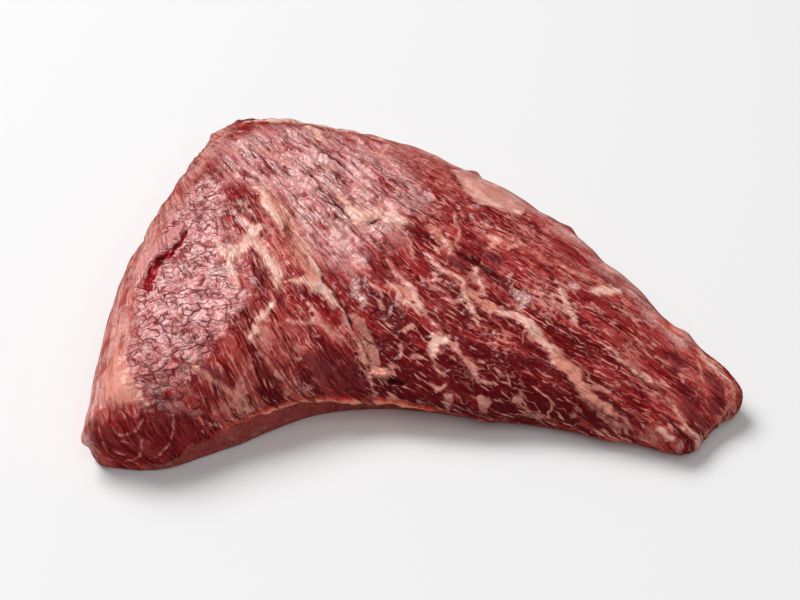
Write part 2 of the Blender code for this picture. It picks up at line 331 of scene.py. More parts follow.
# The smooth cut wall of the heel and the pale lines on it: x, z, half width.
cutFace = [(-128, 16, 7.0), (-123, 18, 13.0), (-112, 20, 14.0), (-102, 21, 10.0)]
wallVeins = {
    "edge": [(-133, 26, 0.3), (-132, 18, 0.4), (-131, 12, 0.4), (-127, 7.5, 0.4), (-121, 8, 0.4),
             (-117.4, 12, 0.5), (-115.5, 18, 0.6), (-115, 23, 0.5)],
    "upper": [(-128, 29, 0.3), (-124.5, 25, 0.5), (-121, 25.5, 0.45), (-117, 27.5, 0.4),
              (-114, 31, 0.6)],
    "middle": [(-125.5, 21.5, 0.35), (-121, 22, 0.4), (-118.5, 21, 0.3)],
    "lower": [(-128, 13.5, 0.3), (-124, 12, 0.4), (-120, 13, 0.3)],
    "inner": [(-102, 31, 0.4), (-102.4, 24, 0.5), (-104.3, 18, 0.5), (-109, 12, 0.4),
              (-113.6, 11, 0.3)],
    "spotA": [(-103, 6, 1.1), (-99, 3.5, 1.5), (-96, 1.8, 1.2)],
    "spotB": [(-109, 1.6, 1.0), (-106, 1.6, 1.0)],
}
# Wet, crinkled skin with an almost white painted highlight.
glossPatches = {
    "armGloss": [(42, -27, 2.2), (47, -30, 2.4), (44, -34, 2.0)],
    "backGloss": [(66, -23, 2.0), (70, -24, 1.8)],
    "lobeGloss": [(-28, -24, 1.4), (-27, -30, 2.2), (-24, -33, 2.0), (-25, -36, 1.4)],
    "pebbleGloss": [(-90, -26, 2.6), (-86, -24, 2.8), (-83, -24, 2.6)],
    "greyPatch": [(-80, 17, 1.8), (-77, 16, 1.8)],
    "seamGloss": [(-19, 4, 2.6), (-14, 2, 2.6)],
    "backSpotA": [(24, 14, 1.4), (25, 12, 1.0)],
    "backSpotB": [(-8.5, 25, 1.7), (-9.5, 21, 1.2)],
    "backSpotC": [(26, 22, 1.4), (27, 19, 1.1)],
}
# Smooth dark lean with hardly any marbling.
plainLean = {
    "lobe": [(-46, -62, 3.0), (-39, -65, 5.0), (-31, -67, 4.5), (-25, -66, 2.5)],
    "lobeTwo": [(-42, -53, 2.0), (-37, -57, 4.0), (-31, -59, 3.6), (-28, -62, 2.6)],
    "middle": [(-20, -16, 2.6), (-17, -20, 3.2), (-15, -24, 2.2)],
    "middleTwo": [(2, -13, 2.4), (3, -17, 2.4)],
    "splitFace": [(21, -5, 2.6), (28, -8, 3.2), (35, -14, 2.6)],
    "belowSplit": [(14, -12, 2.2), (20, -15, 2.4)],
    "corner": [(-89, -72, 2.2), (-84, -74, 2.6), (-79, -76, 1.6)],
    "besideTear": [(-112, -14, 1.6), (-108, -15, 2.0)],
    "belowBlob": [(-3, 3, 2.2), (3, 4, 2.2)],
    "tip": [(126, -60, 2.6), (129, -66, 3.6), (126, -72, 3.6)],
    "tipTwo": [(115, -68, 2.8), (115, -76, 3.2), (120, -79, 2.8)],
    "tipThree": [(101, -58, 3.0), (108, -62, 3.0), (112, -57, 2.6)],
    "tipFour": [(98, -52, 2.0), (106, -52, 2.6), (114, -54, 2.4)],
    "back": [(62, 2, 2.4), (74, -8, 2.8), (90, -24, 2.4)],
    "backTwo": [(72, -27, 2.2), (80, -32, 2.8), (90, -40, 2.6)],
    "heel": [(-79, 38, 2.2), (-74, 34, 1.8)],
}
# Pale membrane that lies flat on the lean.
silverPatches = {
    "silverskin": [(14, 50), (19.5, 37.5), (22, 33), (25, 27.5), (28.5, 22), (32, 20.5), (38, 20),
                   (40, 18.5), (43.5, 16.5), (46.5, 19), (49, 23), (48, 30), (44, 40), (36, 50),
                   (24, 55)],
}
# A smooth tan strip of gristle beside the seam.
tanStrip = [(-28, -40, 1.6), (-25, -43, 2.3), (-23, -47, 2.4), (-21, -51, 2.2), (-19, -56, 2.0),
            (-18, -59, 1.6)]
# Splits in the grain: how deep each one is, then its route.
splits = {
    "armSplit": (2.2, [(15, -4, 0.2), (17, -7, 0.6), (20, -10, 0.8), (24, -12, 1.1), (28, -14, 1.2),
                       (31, -16, 1.2), (34, -19, 1.0), (38, -23, 0.6), (42, -29, 0.1)]),
    "blobSplit": (1.4, [(-42, 18, 0.3), (-38, 16.5, 0.9), (-34.5, 14, 0.9), (-32, 11, 0.4),
                        (-30, 8, 0.3), (-28.5, 4, 0.2), (-24, 1, 0.2), (-20, -2, 0.2),
                        (-16, -8, 0.1)]),
    "blobHollow": (1.2, [(-22, 6, 0.2), (-20.5, 7, 0.8), (-18.5, 7.6, 0.7), (-16, 8, 0.1)]),
    "seamLine": (0.8, [(-62, 15, 0.1), (-59, 11, 0.2), (-57, 6, 0.2), (-55, 1, 0.2), (-50, -6, 0.25),
                       (-47, -12, 0.3), (-44, -18, 0.3), (-41, -23, 0.3), (-37, -28, 0.3),
                       (-34, -31, 0.1)]),
    "seamSplit": (1.4, [(-33, -35, 0.1), (-31, -38, 0.5), (-29, -43, 0.6), (-27, -47, 0.2)]),
    "cordSplit": (2.4, [(90, -61, 0.2), (92, -63, 0.6), (95, -65, 0.8), (98, -68, 1.1),
                        (101, -69.5, 0.7), (105, -71, 0.2)]),
    "hollow": (2.2, [(-14, -65, 25, 0.4), (-11, -66, 24, 1.0), (-7, -67, 23, 0.6)]),
    "tipSplit": (1.8, [(106, -81, 0.2), (109, -84, 0.8), (112, -86.3, 0.9), (115, -87.8, 0.9),
                       (118, -88.5, 0.4)]),
    "tipCrack": (0.9, [(120, -72, 0.1), (122, -73.5, 0.3), (125, -76, 0.2)]),
    "heelCrack": (0.9, [(-101, 15, 0.1), (-99.5, 11, 0.4), (-97.5, 5, 0.2)]),
    "heelCrackTwo": (0.9, [(-97, 47, 0.1), (-95, 41, 0.4), (-92, 33, 0.1)]),
    "heelCrackThree": (0.8, [(-78, 67, 0.1), (-73, 62, 0.3), (-68, 62, 0.2)]),
    "backCrack": (1.1, [(-40, 59, 0.2), (-42, 54, 0.5), (-46, 48, 0.4), (-48, 42, 0.2)]),
}
# The tear in the skin of the heel, and the raised flap beside it.
tear = [(-104, 5, 0.1), (-105, -3, 0.5), (-108, -7, 1.0), (-111, -10, 1.6), (-114, -12, 1.9),
        (-116, -16, 1.9), (-118, -21, 1.6), (-119, -25, 1.2), (-117, -30, 0.3)]
flap = [(-106, 8, 2.0), (-109, 4, 4.0), (-114, -1, 6.0), (-119, -7, 4.6), (-122, -16, 3.0),
        (-123, -24, 1.6)]
# The edge between the lean above and the membrane on the front wall below: x, y, z, half width.
frontCrease = [(-120, -97, 3, 0.2), (-110, -98, 6, 0.3), (-100, -97, 9, 0.4), (-89, -90, 13, 0.7),
               (-80, -85, 16, 0.9), (-70, -81, 19, 1.0), (-60, -77, 19, 1.3), (-49, -74, 19, 1.9),
               (-35, -72, 16, 2.6), (-21, -71, 14, 2.6), (-12, -71, 15, 1.8), (0, -73, 14, 1.3),
               (10, -75, 13, 0.8), (31, -78, 8, 0.7), (64, -80, 6, 1.0), (93, -88, 5, 1.0),
               (108, -92, 5, 0.8)]
# How far the front wall goes in under its edge: x, depth.
undercut = [(-75, 0), (-52, 4.5), (-36, 7.5), (-12, 8), (5, 5.5), (28, 1.5), (60, 2), (90, 3.5),
            (108, 2.5), (118, 0)]
# Knobs that stand out of the surface: x, y, z, radius, height.
knobs = {
    "heelKnob": (-139, -91, 17, 4.0, 2.2),
    "highKnob": (-99, 85, 29, 5.0, 2.2),
    "backKnob": (28, 58, 29, 4.0, 3.0),
    "shoulderKnob": (71, 22, 29, 4.5, 2.6),
    "armKnob": (116, -41, 25, 5.0, 1.5),
    "spike": (-14, 81, 29, 2.5, 1.6),
    "notchKnob": (-18, -63, 25, 2.2, 2.2),
    "notchKnobTwo": (-14, -63, 25, 2.2, 2.4),
}
# Which way the fibres run, seen from above: x, y, degrees.
fibreRuns = [
    (-97, 15, -62), (-88, 50, -62), (-55, 35, -46), (-20, 40, -43), (-45, -50, -36),
    (-70, -40, -42), (15, 0, -50), (-10, -30, -56), (10, -53, -50), (30, 45, -36),
    (58, 0, -26), (40, -40, -40), (75, -20, -26), (105, -40, -52), (100, -60, -32),
    (38, -78, -18), (70, -70, -20), (95, -80, -14), (128, -68, -40), (-135, -20, -102),
    (-125, -60, -90), (-110, 50, -66), (-50, -85, -34), (-85, -80, -56), (-25, -75, -36),
    (-40, 110, -40), (50, 80, -38), (140, -20, -44), (130, -110, -30), (60, -110, -18),
    (-150, -90, -96), (-60, -120, -40),
]
# Where the skin is crinkled, where a pale film with a painted sheen covers the lean and where the lean is
# marbled.
pebbleArea = [(-118, 25), (-104, 40), (-92, 30), (-88, 5), (-84, -15), (-78, -38), (-84, -54),
              (-94, -66), (-100, -76), (-99, -83), (-105, -87), (-112, -86), (-118, -80), (-121, -72),
              (-125, -62), (-129, -20)]
filmArea = [(-96, 66), (-60, 76), (-30, 66), (-6, 50), (0, 24), (-6, 0), (-32, -18), (-50, -4),
            (-60, 24), (-88, 34)]
marbleArea = [(-86, 26), (-46, 30), (-6, 66), (30, 46), (60, 20), (84, -14), (96, -40), (106, -64),
              (102, -88), (60, -82), (0, -76), (-22, -70), (-60, -80), (-92, -80), (-96, -40),
              (-90, 0)]
# The membrane along the upper edges of the left and back sides.
edgeSkin = [(-100, 62, 3), (-108, 42, 5), (-117, 22, 7), (-124, 2, 7), (-128, -18, 7), (-130, -38, 9),
            (-130, -56, 9), (-132, -72, 5), (-138, -84, 3.5), (-139.5, -93, 3)]
backSkin = [(10, 63, 3.0), (25, 52, 5.0), (43, 39, 6.0), (61, 22, 6.5), (81, 0, 6.5), (100, -27, 6.0),
            (115, -46, 4.0)]
# Where the lean is paler or darker: x, y, radius, amount.
leanTones = {
    "lobe": (-58, -60, 22, 1.1),
    "lobeFront": (-40, -70, 16, 0.8),
    "heelFront": (-86, -80, 16, 1.0),
    "seam": (-26, 6, 18, 1.6),
    "seamLow": (-60, -18, 16, 1.2),
    "top": (4, 62, 28, 1.2),
    "middle": (-6, -54, 26, -1.5),
    "arm": (36, -58, 26, -1.1),
    "tip": (116, -66, 18, 0.9),
    "armEnd": (72, -52, 22, -0.8),
    "corner": (-136, -88, 16, 1.6),
}

relief = {
    "face": 0.94,  # the size of the fine surface's faces, in millimetres
    "calmRounds": 40,  # how often the normals are averaged before the sides are folded out
    "foldStart": 7.0,  # how far below the crown a side begins
    "foldBlend": 4,  # half the height over which it turns into the top
    "weld": 0.001,
    "footHeight": 0.12,  # points lower than this are laid on the table
    "wander": 1.3,  # how far the edges of fat wander
    "wanderSize": 5,
    "wobble": 6,  # how far the edges of skin and film wander
    "wobbleSize": 14,
    "bundles": 1.3,  # heights, and the sizes along and across the fibres
    "bundleSize": (24, 6, 1),
    "strands": 0.9,
    "strandSize": (13, 2.9, 1),
    "pebbles": 1.4,
    "pebbleSize": (7.6, 4.6, 4.6),
    "pebbleWarp": 2.2,
    "folds": 1.1,
    "foldSize": (12.0, 3.4, 1),
    "foldWarp": 1.5,
    "splitWander": 0.9,
    "fatRise": 0.5,
    "veinRise": 0.25,
    "tearDepth": 2.6,
    "flapRise": 0.8,
    "creaseRise": 0.6,
    "ledge": 0.9,
}


def stepUp(value, low, high):
    share = np.clip((value - low) / (high - low), 0, 1)
    return share * share * (3 - 2 * share)


def stripDepth(spots, route):
    # how far inside a strip each spot lies, negative outside; a route's last column is its half width
    axes = len(route[0]) - 1
    points = np.array(route, float)
    best = np.full(len(spots), -1e3)
    for start, end in zip(points, points[1:]):
        run = end[:axes] - start[:axes]
        out = spots[:, :axes] - start[:axes]
        share = np.clip(out @ run / (run @ run), 0, 1)
        half = start[axes] + share * (end[axes] - start[axes])
        best = np.maximum(best, half - np.linalg.norm(out - share[:, None] * run, axis=1))
    return best


def deepest(spots, routes):
    return np.max([stripDepth(spots, route) for route in routes], axis=0)


def areaDepth(spots, outline):
    # how far inside a closed outline each spot lies, seen from above, negative outside
    closed = outline + outline[:1]
    inside = np.zeros(len(spots), bool)
    for (ax, ay), (bx, by) in zip(closed, closed[1:]):
        across = (ay > spots[:, 1]) != (by > spots[:, 1])
        slope = (bx - ax) / ((by - ay) or 1e-9)
        inside ^= across & (spots[:, 0] < ax + (spots[:, 1] - ay) * slope)
    away = -stripDepth(spots, [(x, y, 0) for x, y in closed])
    return np.where(inside, away, -away)


def noiseAt(spots, sizes, seed):
    scaled = (spots / np.array(sizes) + seed).tolist()
    return np.array([noise.noise(spot) for spot in scaled])


def noiseVector(spots, size, seeds):
    return np.array([noiseAt(spots, (size, size, size), seed) for seed in seeds]).T


def cellsAt(spots, sizes, seed):
    # the gap between the nearest two cell centres: 0 on the cracks between cells
    scaled = (spots / np.array(sizes) + seed).tolist()
    near = np.array([noise.voronoi(spot)[0][:2] for spot in scaled])
    return near[:, 1] - near[:, 0]


def powerTerms(spots, degree):
    x, y = spots[:, 0] / 100, spots[:, 1] / 100
    powers = [(i, j) for i in range(degree + 1) for j in range(degree + 1 - i)]
    return np.array([x**i * y**j for i, j in powers]).T


def foldedOut(mesh, spots, normals):
    # where each spot would lie from above if the sides were folded out flat,
    # its depth below the crown, and calmed normals
    edges = np.zeros(len(mesh.edges) * 2, np.int32)
    mesh.edges.foreach_get("vertices", edges)
    first, second = edges.reshape(-1, 2).T
    count = len(spots)
    near = 1 + np.bincount(first, minlength=count) + np.bincount(second, minlength=count)
    calm = normals
    for _ in range(relief["calmRounds"]):
        columns = []
        for axis in calm.T:
            shared = axis + np.bincount(first, axis[second], count)
            shared += np.bincount(second, axis[first], count)
            columns.append(shared / near)
        calm = np.array(columns).T
    flat = calm[:, :2] / np.maximum(np.linalg.norm(calm[:, :2], axis=1), 1e-6)[:, None]
    top = (normals[:, 2] > 0.85) & (spots[:, 2] > 10)
    terms = powerTerms(spots, 3)
    crown = terms @ np.linalg.lstsq(terms[top], spots[top, 2], rcond=None)[0]
    drop = crown - spots[:, 2] - relief["foldStart"]
    blend = relief["foldBlend"]
    extra = np.where(drop > blend, drop, np.clip(drop + blend, 0, None) ** 2 / (4 * blend))
    calm = calm / np.linalg.norm(calm, axis=1)[:, None]
    return spots[:, :2] + flat * extra[:, None], drop + relief["foldStart"], calm


def fibreSpace(flat):
    # smooth coordinates along and across the fibres: sums of powers fitted to the named directions
    x, y, turn = np.array(fibreRuns, float).T
    turn = np.radians(turn)
    x, y = x / 100, y / 100
    powers = [(i, j) for i in range(5) for j in range(5 - i)]
    slopeX = np.array([i * x ** max(i - 1, 0) * y**j for i, j in powers]).T
    slopeY = np.array([j * x**i * y ** max(j - 1, 0) for i, j in powers]).T
    alongRun = slopeX * np.cos(turn)[:, None] + slopeY * np.sin(turn)[:, None]
    acrossRun = slopeY * np.cos(turn)[:, None] - slopeX * np.sin(turn)[:, None]
    ones, zeros = np.ones(len(x)), np.zeros(len(x))
    wanted = np.concatenate([ones, zeros])
    along = np.linalg.lstsq(np.vstack([alongRun, acrossRun]), wanted, rcond=None)[0]
    wanted = np.concatenate([zeros, ones])  # what stays the same along a fibre counts three times
    across = np.linalg.lstsq(np.vstack([alongRun * 3, acrossRun]), wanted, rcond=None)[0]
    terms = powerTerms(flat, 4)
    return np.column_stack([terms @ along * 100, terms @ across * 100, np.zeros(len(flat))])


def fineSurface():
    # a welded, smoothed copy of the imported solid, cut into small even faces
    bm = bmesh.new()
    bm.from_mesh(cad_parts["tri_tip_roast"].data)
    bmesh.ops.remove_doubles(bm, verts=bm.verts, dist=relief["weld"] * mm)
    bmesh.ops.join_triangles(bm, faces=bm.faces, angle_face_threshold=0.7, angle_shape_threshold=0.7)
    mesh = bpy.data.meshes.new("coarseRoast")
    bm.to_mesh(mesh)
    bm.free()
    coarse = bpy.data.objects.new("coarseRoast", mesh)
    bpy.context.scene.collection.objects.link(coarse)
    rounding = coarse.modifiers.new("rounding", "SUBSURF")
    rounding.levels = rounding.render_levels = 2
    faces = coarse.modifiers.new("faces", "REMESH")
    faces.mode = "VOXEL"
    faces.voxel_size = relief["face"] * mm
    graph = bpy.context.evaluated_depsgraph_get()
    fine = bpy.data.meshes.new_from_object(coarse.evaluated_get(graph))
    bpy.data.objects.remove(coarse)
    bm = bmesh.new()
    bm.from_mesh(fine)
    for vert in bm.verts:
        if vert.co.z < relief["footHeight"] * mm:
            vert.co.z = 0.0
    flat = [face for face in bm.faces if all(vert.co.z == 0 for vert in face.verts)]
    bmesh.ops.dissolve_faces(bm, faces=flat, use_verts=False)
    bmesh.ops.smooth_vert(bm, verts=[v for v in bm.verts if v.co.z > 0], factor=0.5,
                          use_axis_x=True, use_axis_y=True, use_axis_z=True)
    bm.to_mesh(fine)
    bm.free()
    fine.name = "roast"
    print("fine surface:", len(fine.vertices), "points,", len(fine.polygons), "faces")
    return fine


def readPoints(mesh, what):
    values = np.zeros(len(mesh.vertices) * 3, np.float32)
    mesh.vertices.foreach_get(what, values)
    return values.reshape(-1, 3).astype(float)


def writeField(mesh, name, values):
    kind = "FLOAT_VECTOR" if values.ndim == 2 else "FLOAT"
    layer = mesh.attributes.new(name, kind, "POINT")
    layer.data.foreach_set("vector" if values.ndim == 2 else "value", values.astype(np.float32).ravel())


def measureFields(mesh, spots, normals):
    # every mask that the relief and the material share
    flat, drop, calm = foldedOut(mesh, spots, normals)
    fields = {"fibre": fibreSpace(flat)}
    wander = relief["wander"] * noiseVector(spots, relief["wanderSize"], (1.3, 4.9, 8.2))
    loose = spots + wander
    front = stepUp(-calm[:, 1], 0.1, 0.4)
    fields["fat"] = deepest(loose, fatStrips.values())
    fields["warm"] = deepest(loose, warmStrips.values())
    walls = deepest((spots + wander * 0.4)[:, [0, 2]], wallVeins.values())
    fields["vein"] = np.maximum(deepest(loose, fatVeins.values()), walls - (1 - front) * 8)
    fields["gloss"] = deepest(loose, glossPatches.values())
    cut = stripDepth(loose[:, [0, 2]], cutFace) - (1 - front) * 18
    fields["plain"] = np.maximum(deepest(loose, plainLean.values()), cut)
    for name in ("fat", "warm"):
        fields[name] -= stepUp(cut, -2, 1) * 6
    # painted light: pale rises towards the back right, where the lean is lit more; the lean tones add
    # paler and darker spots to it
    fields["pale"] = stepUp(spots[:, 0] * 0.5 + spots[:, 1], -30, 20) * stepUp(spots[:, 0], 0, 60)
    for x, y, radius, amount in leanTones.values():
        fields["pale"] += amount * np.exp(-((spots[:, 0] - x) ** 2 + (spots[:, 1] - y) ** 2) / radius**2)
    fields["silver"] = np.max([areaDepth(loose, outline) for outline in silverPatches.values()], axis=0)
    fields["tan"] = stripDepth(loose, tanStrip)
    fields["crease"] = stripDepth(spots + wander * 0.5, frontCrease)
    wobble = noiseAt(spots, (relief["wobbleSize"],) * 3, 3.3) * relief["wobble"]
    fields["pebble"] = stepUp(areaDepth(spots, pebbleArea) + wobble, -11, 7)
    fields["filmAndSheen"] = stepUp(areaDepth(spots, filmArea) + wobble, -7, 7)
    # towards the front, where less painted sheen is put on the pebbles
    fields["towardFront"] = stepUp(-spots[:, 1], 42, 86)
    fields["marble"] = stepUp(areaDepth(spots, marbleArea) + wobble, -7, 7)
    away = stepUp(calm[:, 1] - calm[:, 0] * 0.8, -0.35, 0.15)  # sides that face back or left
    # painted shade: faces that turn to the front get a darker lean, except at the far left and less at
    # the right end
    low = stepUp(-calm[:, 1], 0.25, 0.75) * stepUp(spots[:, 0], -130, -60)
    fields["shade"] = low * (1 - stepUp(spots[:, 0], 60, 110) * 0.7)
    fields["skin"] = stepUp(drop + wobble * 0.4, 0.5, 6) * away
    inner = stepUp(stripDepth(spots, edgeSkin) + wobble * 0.5, -3, 3)
    outer = stepUp(stripDepth(spots, backSkin) + wobble * 0.5, -3, 3)
    fields["leftSkin"] = np.maximum(stepUp(-calm[:, 0], 0.1, 0.6), np.maximum(inner, outer))
    fields["skin"] = np.maximum(fields["skin"], np.maximum(inner, outer) * 0.9)
    fields["skin"] *= 1 - stepUp(cut, -2, 2) * 0.9
    fields["flap"] = stepUp(stripDepth(spots, flap) + wobble * 0.2, -0.8, 1.2)
    fields["pebble"] *= (1 - inner * 0.8) * (1 - fields["flap"])
    fields["steep"] = 1 - stepUp(calm[:, 2], 0.25, 0.75)
    creaseHeight = np.interp(spots[:, 0], [p[0] for p in frontCrease], [p[2] for p in frontCrease])
    edge = creaseHeight - spots[:, 2] + noiseAt(spots, (4, 4, 4), 6.1) * 1.2
    fields["below"] = stepUp(edge, 0.0, 1.6) * front * stepUp(spots[:, 0], -122, -110)
    depth = np.interp(spots[:, 0], [p[0] for p in undercut], [p[1] for p in undercut])
    fields["inward"] = calm * (stepUp(edge, -1.0, 5.0) * front * depth)[:, None] * (-1, -1, 0)
    return fields


def moveSurface(spots, fields):
    # the relief, in millimetres along the normal
    fibre = fields["fibre"]
    pebble, filmAndSheen, marble = fields["pebble"], fields["filmAndSheen"], fields["marble"]
    calm = 1 - stepUp(np.maximum(fields["silver"], fields["plain"]), -1, 1) * 0.8
    lift = relief["bundles"] * noiseAt(fibre, relief["bundleSize"], 1.7) * (1 - fields["skin"] * 0.6)
    lift += relief["strands"] * noiseAt(fibre, relief["strandSize"], 5.2)
    warped = spots + relief["pebbleWarp"] * noiseVector(spots, 7, (9.1, 2.7, 6.4))
    cells = stepUp(cellsAt(warped, relief["pebbleSize"], 4.2), 0.0, 0.32)
    lift += relief["pebbles"] * pebble * calm * (cells - 0.8)
    bent = fibre + noiseAt(spots, (6, 6, 6), 2.9)[:, None] * relief["foldWarp"]
    folds = stepUp(cellsAt(bent, relief["foldSize"], 7.9), 0.0, 0.4)
    lift += relief["folds"] * np.maximum(filmAndSheen, 0.45 * marble) * calm * (folds - 0.8)
    fatty = stepUp(np.maximum(fields["fat"], fields["warm"]), -0.8, 1.2)
    lift += relief["fatRise"] * fatty * (0.8 + 1.2 * noiseAt(spots, (7, 7, 7), 2.2))
    lift += relief["veinRise"] * stepUp(fields["vein"], -0.6, 0.8)
    crack = np.zeros(len(spots))
    loose = spots + relief["splitWander"] * noiseVector(spots, 4, (3.1, 7.7, 5.5))
    for depth, route in splits.values():
        cut = stepUp(stripDepth(loose, route), -0.9, 0.5)
        lift -= depth * cut
        crack = np.maximum(crack, cut)
    torn = stepUp(stripDepth(loose, tear), -1.5, 0.5)
    lift -= relief["tearDepth"] * torn
    lift += relief["flapRise"] * fields["flap"] * (1 - torn)
    lift += relief["creaseRise"] * stepUp(fields["crease"], -0.8, 0.8)
    lift -= relief["ledge"] * fields["below"] * stepUp(spots[:, 2], 0.5, 3.0)
    for x, y, z, radius, height in knobs.values():
        away = np.linalg.norm(spots - (x, y, z), axis=1) / radius
        lift += height * np.exp(-away**2 * 1.2)
    lift *= stepUp(spots[:, 2], 0.2, 3.0)
    fields["crack"] = crack
    fields["torn"] = torn
    return lift


def buildRoast():
    mesh = fineSurface()
    spots, normals = readPoints(mesh, "co") / mm, readPoints(mesh, "normal")
    fields = measureFields(mesh, spots, normals)
    lift = moveSurface(spots, fields)
    moved = spots + normals * lift[:, None] + fields.pop("inward")
    moved[:, 2] = np.maximum(moved[:, 2], 0)
    mesh.vertices.foreach_set("co", (moved * mm).astype(np.float32).ravel())
    mesh.update()
    mesh.shade_smooth()
    for name, values in fields.items():
        if name != "fibre":
            values = np.clip(values, -8, 8)
        writeField(mesh, name, values)
    roast = bpy.data.objects.new("roastBeef", mesh)
    bpy.context.scene.collection.objects.link(roast)
    mesh.materials.append(meat())
    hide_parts("tri_tip_roast")
    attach(roast, "root")
    print("roast ready:", sum(len(p.vertices) - 2 for p in mesh.polygons), "triangles")


# ---- the roast's material

meatLook = {
    "deepLean": (0.115, 0.003, 0.005, 1),
    "lean": (0.37, 0.016, 0.017, 1),
    "paleLean": (0.50, 0.09, 0.075, 1),
    "plum": (0.19, 0.028, 0.031, 1),
    "crimson": (0.26, 0.006, 0.009, 1),
    # the film colours are the film's own colour with a painted lavender sheen
    "filmAndSheen": (0.74, 0.29, 0.28, 1),
    "filmLight": (0.94, 0.56, 0.54, 1),
    "wetSkinAndHighlight": (0.88, 0.54, 0.51, 1),
    "marbling": (0.74, 0.29, 0.235, 1),
    "fat": (0.95, 0.59, 0.49, 1),
    "warmFat": (0.78, 0.30, 0.205, 1),
    "silver": (0.62, 0.25, 0.20, 1),
    "tan": (0.64, 0.27, 0.20, 1),
    # dark colours that paint the shade in crevices, pebble cracks, splits and the tear
    "creviceShade": (0.13, 0.005, 0.008, 1),
    "crackRed": (0.21, 0.018, 0.024, 1),
    "crack": (0.065, 0.003, 0.004, 1),
    "torn": (0.36, 0.008, 0.013, 1),
    "membrane": (0.36, 0.062, 0.055, 1),
    "membraneLight": (0.46, 0.16, 0.13, 1),
    "skinDark": (0.50, 0.09, 0.072, 1),
    "skinLight": (0.86, 0.35, 0.28, 1),
    "flap": (0.76, 0.31, 0.30, 1),
    "rim": (0.86, 0.33, 0.21, 1),
    "rimRed": (0.60, 0.045, 0.028, 1),
    "leanRoughness": 0.36,
    "fatRoughness": 0.40,
    "specular": 0.18,
    "specularTint": (1.0, 0.82, 0.84, 1),
    "coat": 0.42,
    "filmCoat": 0.02,
    "pebbleCoat": 0.15,
    "wetCoat": 0.35,
    "coatRoughness": 0.15,
    "bleed": 0.08,
    "bleedRadius": (1.0, 0.35, 0.25),
    "bleedDepth": 2,  # millimetres
    # how large each pattern is, in millimetres: along and across the fibres, or x, y and z
    "bendSize": (8, 8, 8),
    "raggedSize": (5, 5, 5),
    "threadSize": (8, 0.7),
    "bundleSize": (24, 3.6),
    "patchSize": (26, 26, 26),
    "whereSize": (18, 18, 18),
    "longGapSize": (14, 3.2),
    "lumpGapSize": (6.5, 2.1),
    "pebbleGapSize": (7.6, 4.2, 4.2),
    "crinkleGapSize": (3.6, 2.1, 2.1),
    "openingSize": (22, 6),
    "fadeSize": (6, 6, 6),
    "runSize": (26, 7),
    "grainSize": (34, 2.4),
    "filmBreakSize": (20, 3.6),
    "pebbleBreakSize": (9, 9, 9),
    "filmToneSize": (20, 3.6),
    "pebbleToneSize": (4, 4, 4),
    "streakSize": (6, 0.9),
    "fatPatchSize": (14, 3.0),
    "netWidthSize": (26, 9),
    "netSize": (19, 5.0),
    "fineNetSize": (10, 2.8),
    "bareSize": (13, 13, 13),
    "crumbSize": (2.6, 2.6, 2.6),
    "fraySize": (7, 1.5),
    "warmthSize": (7, 7, 7),
    "sheetSize": (16, 1.6),
    "bandSize": (15, 15, 1.5),
    "edgeLineSize": (24, 2.4),
    "speckleSize": (1.4, 1.4, 1.4),
}


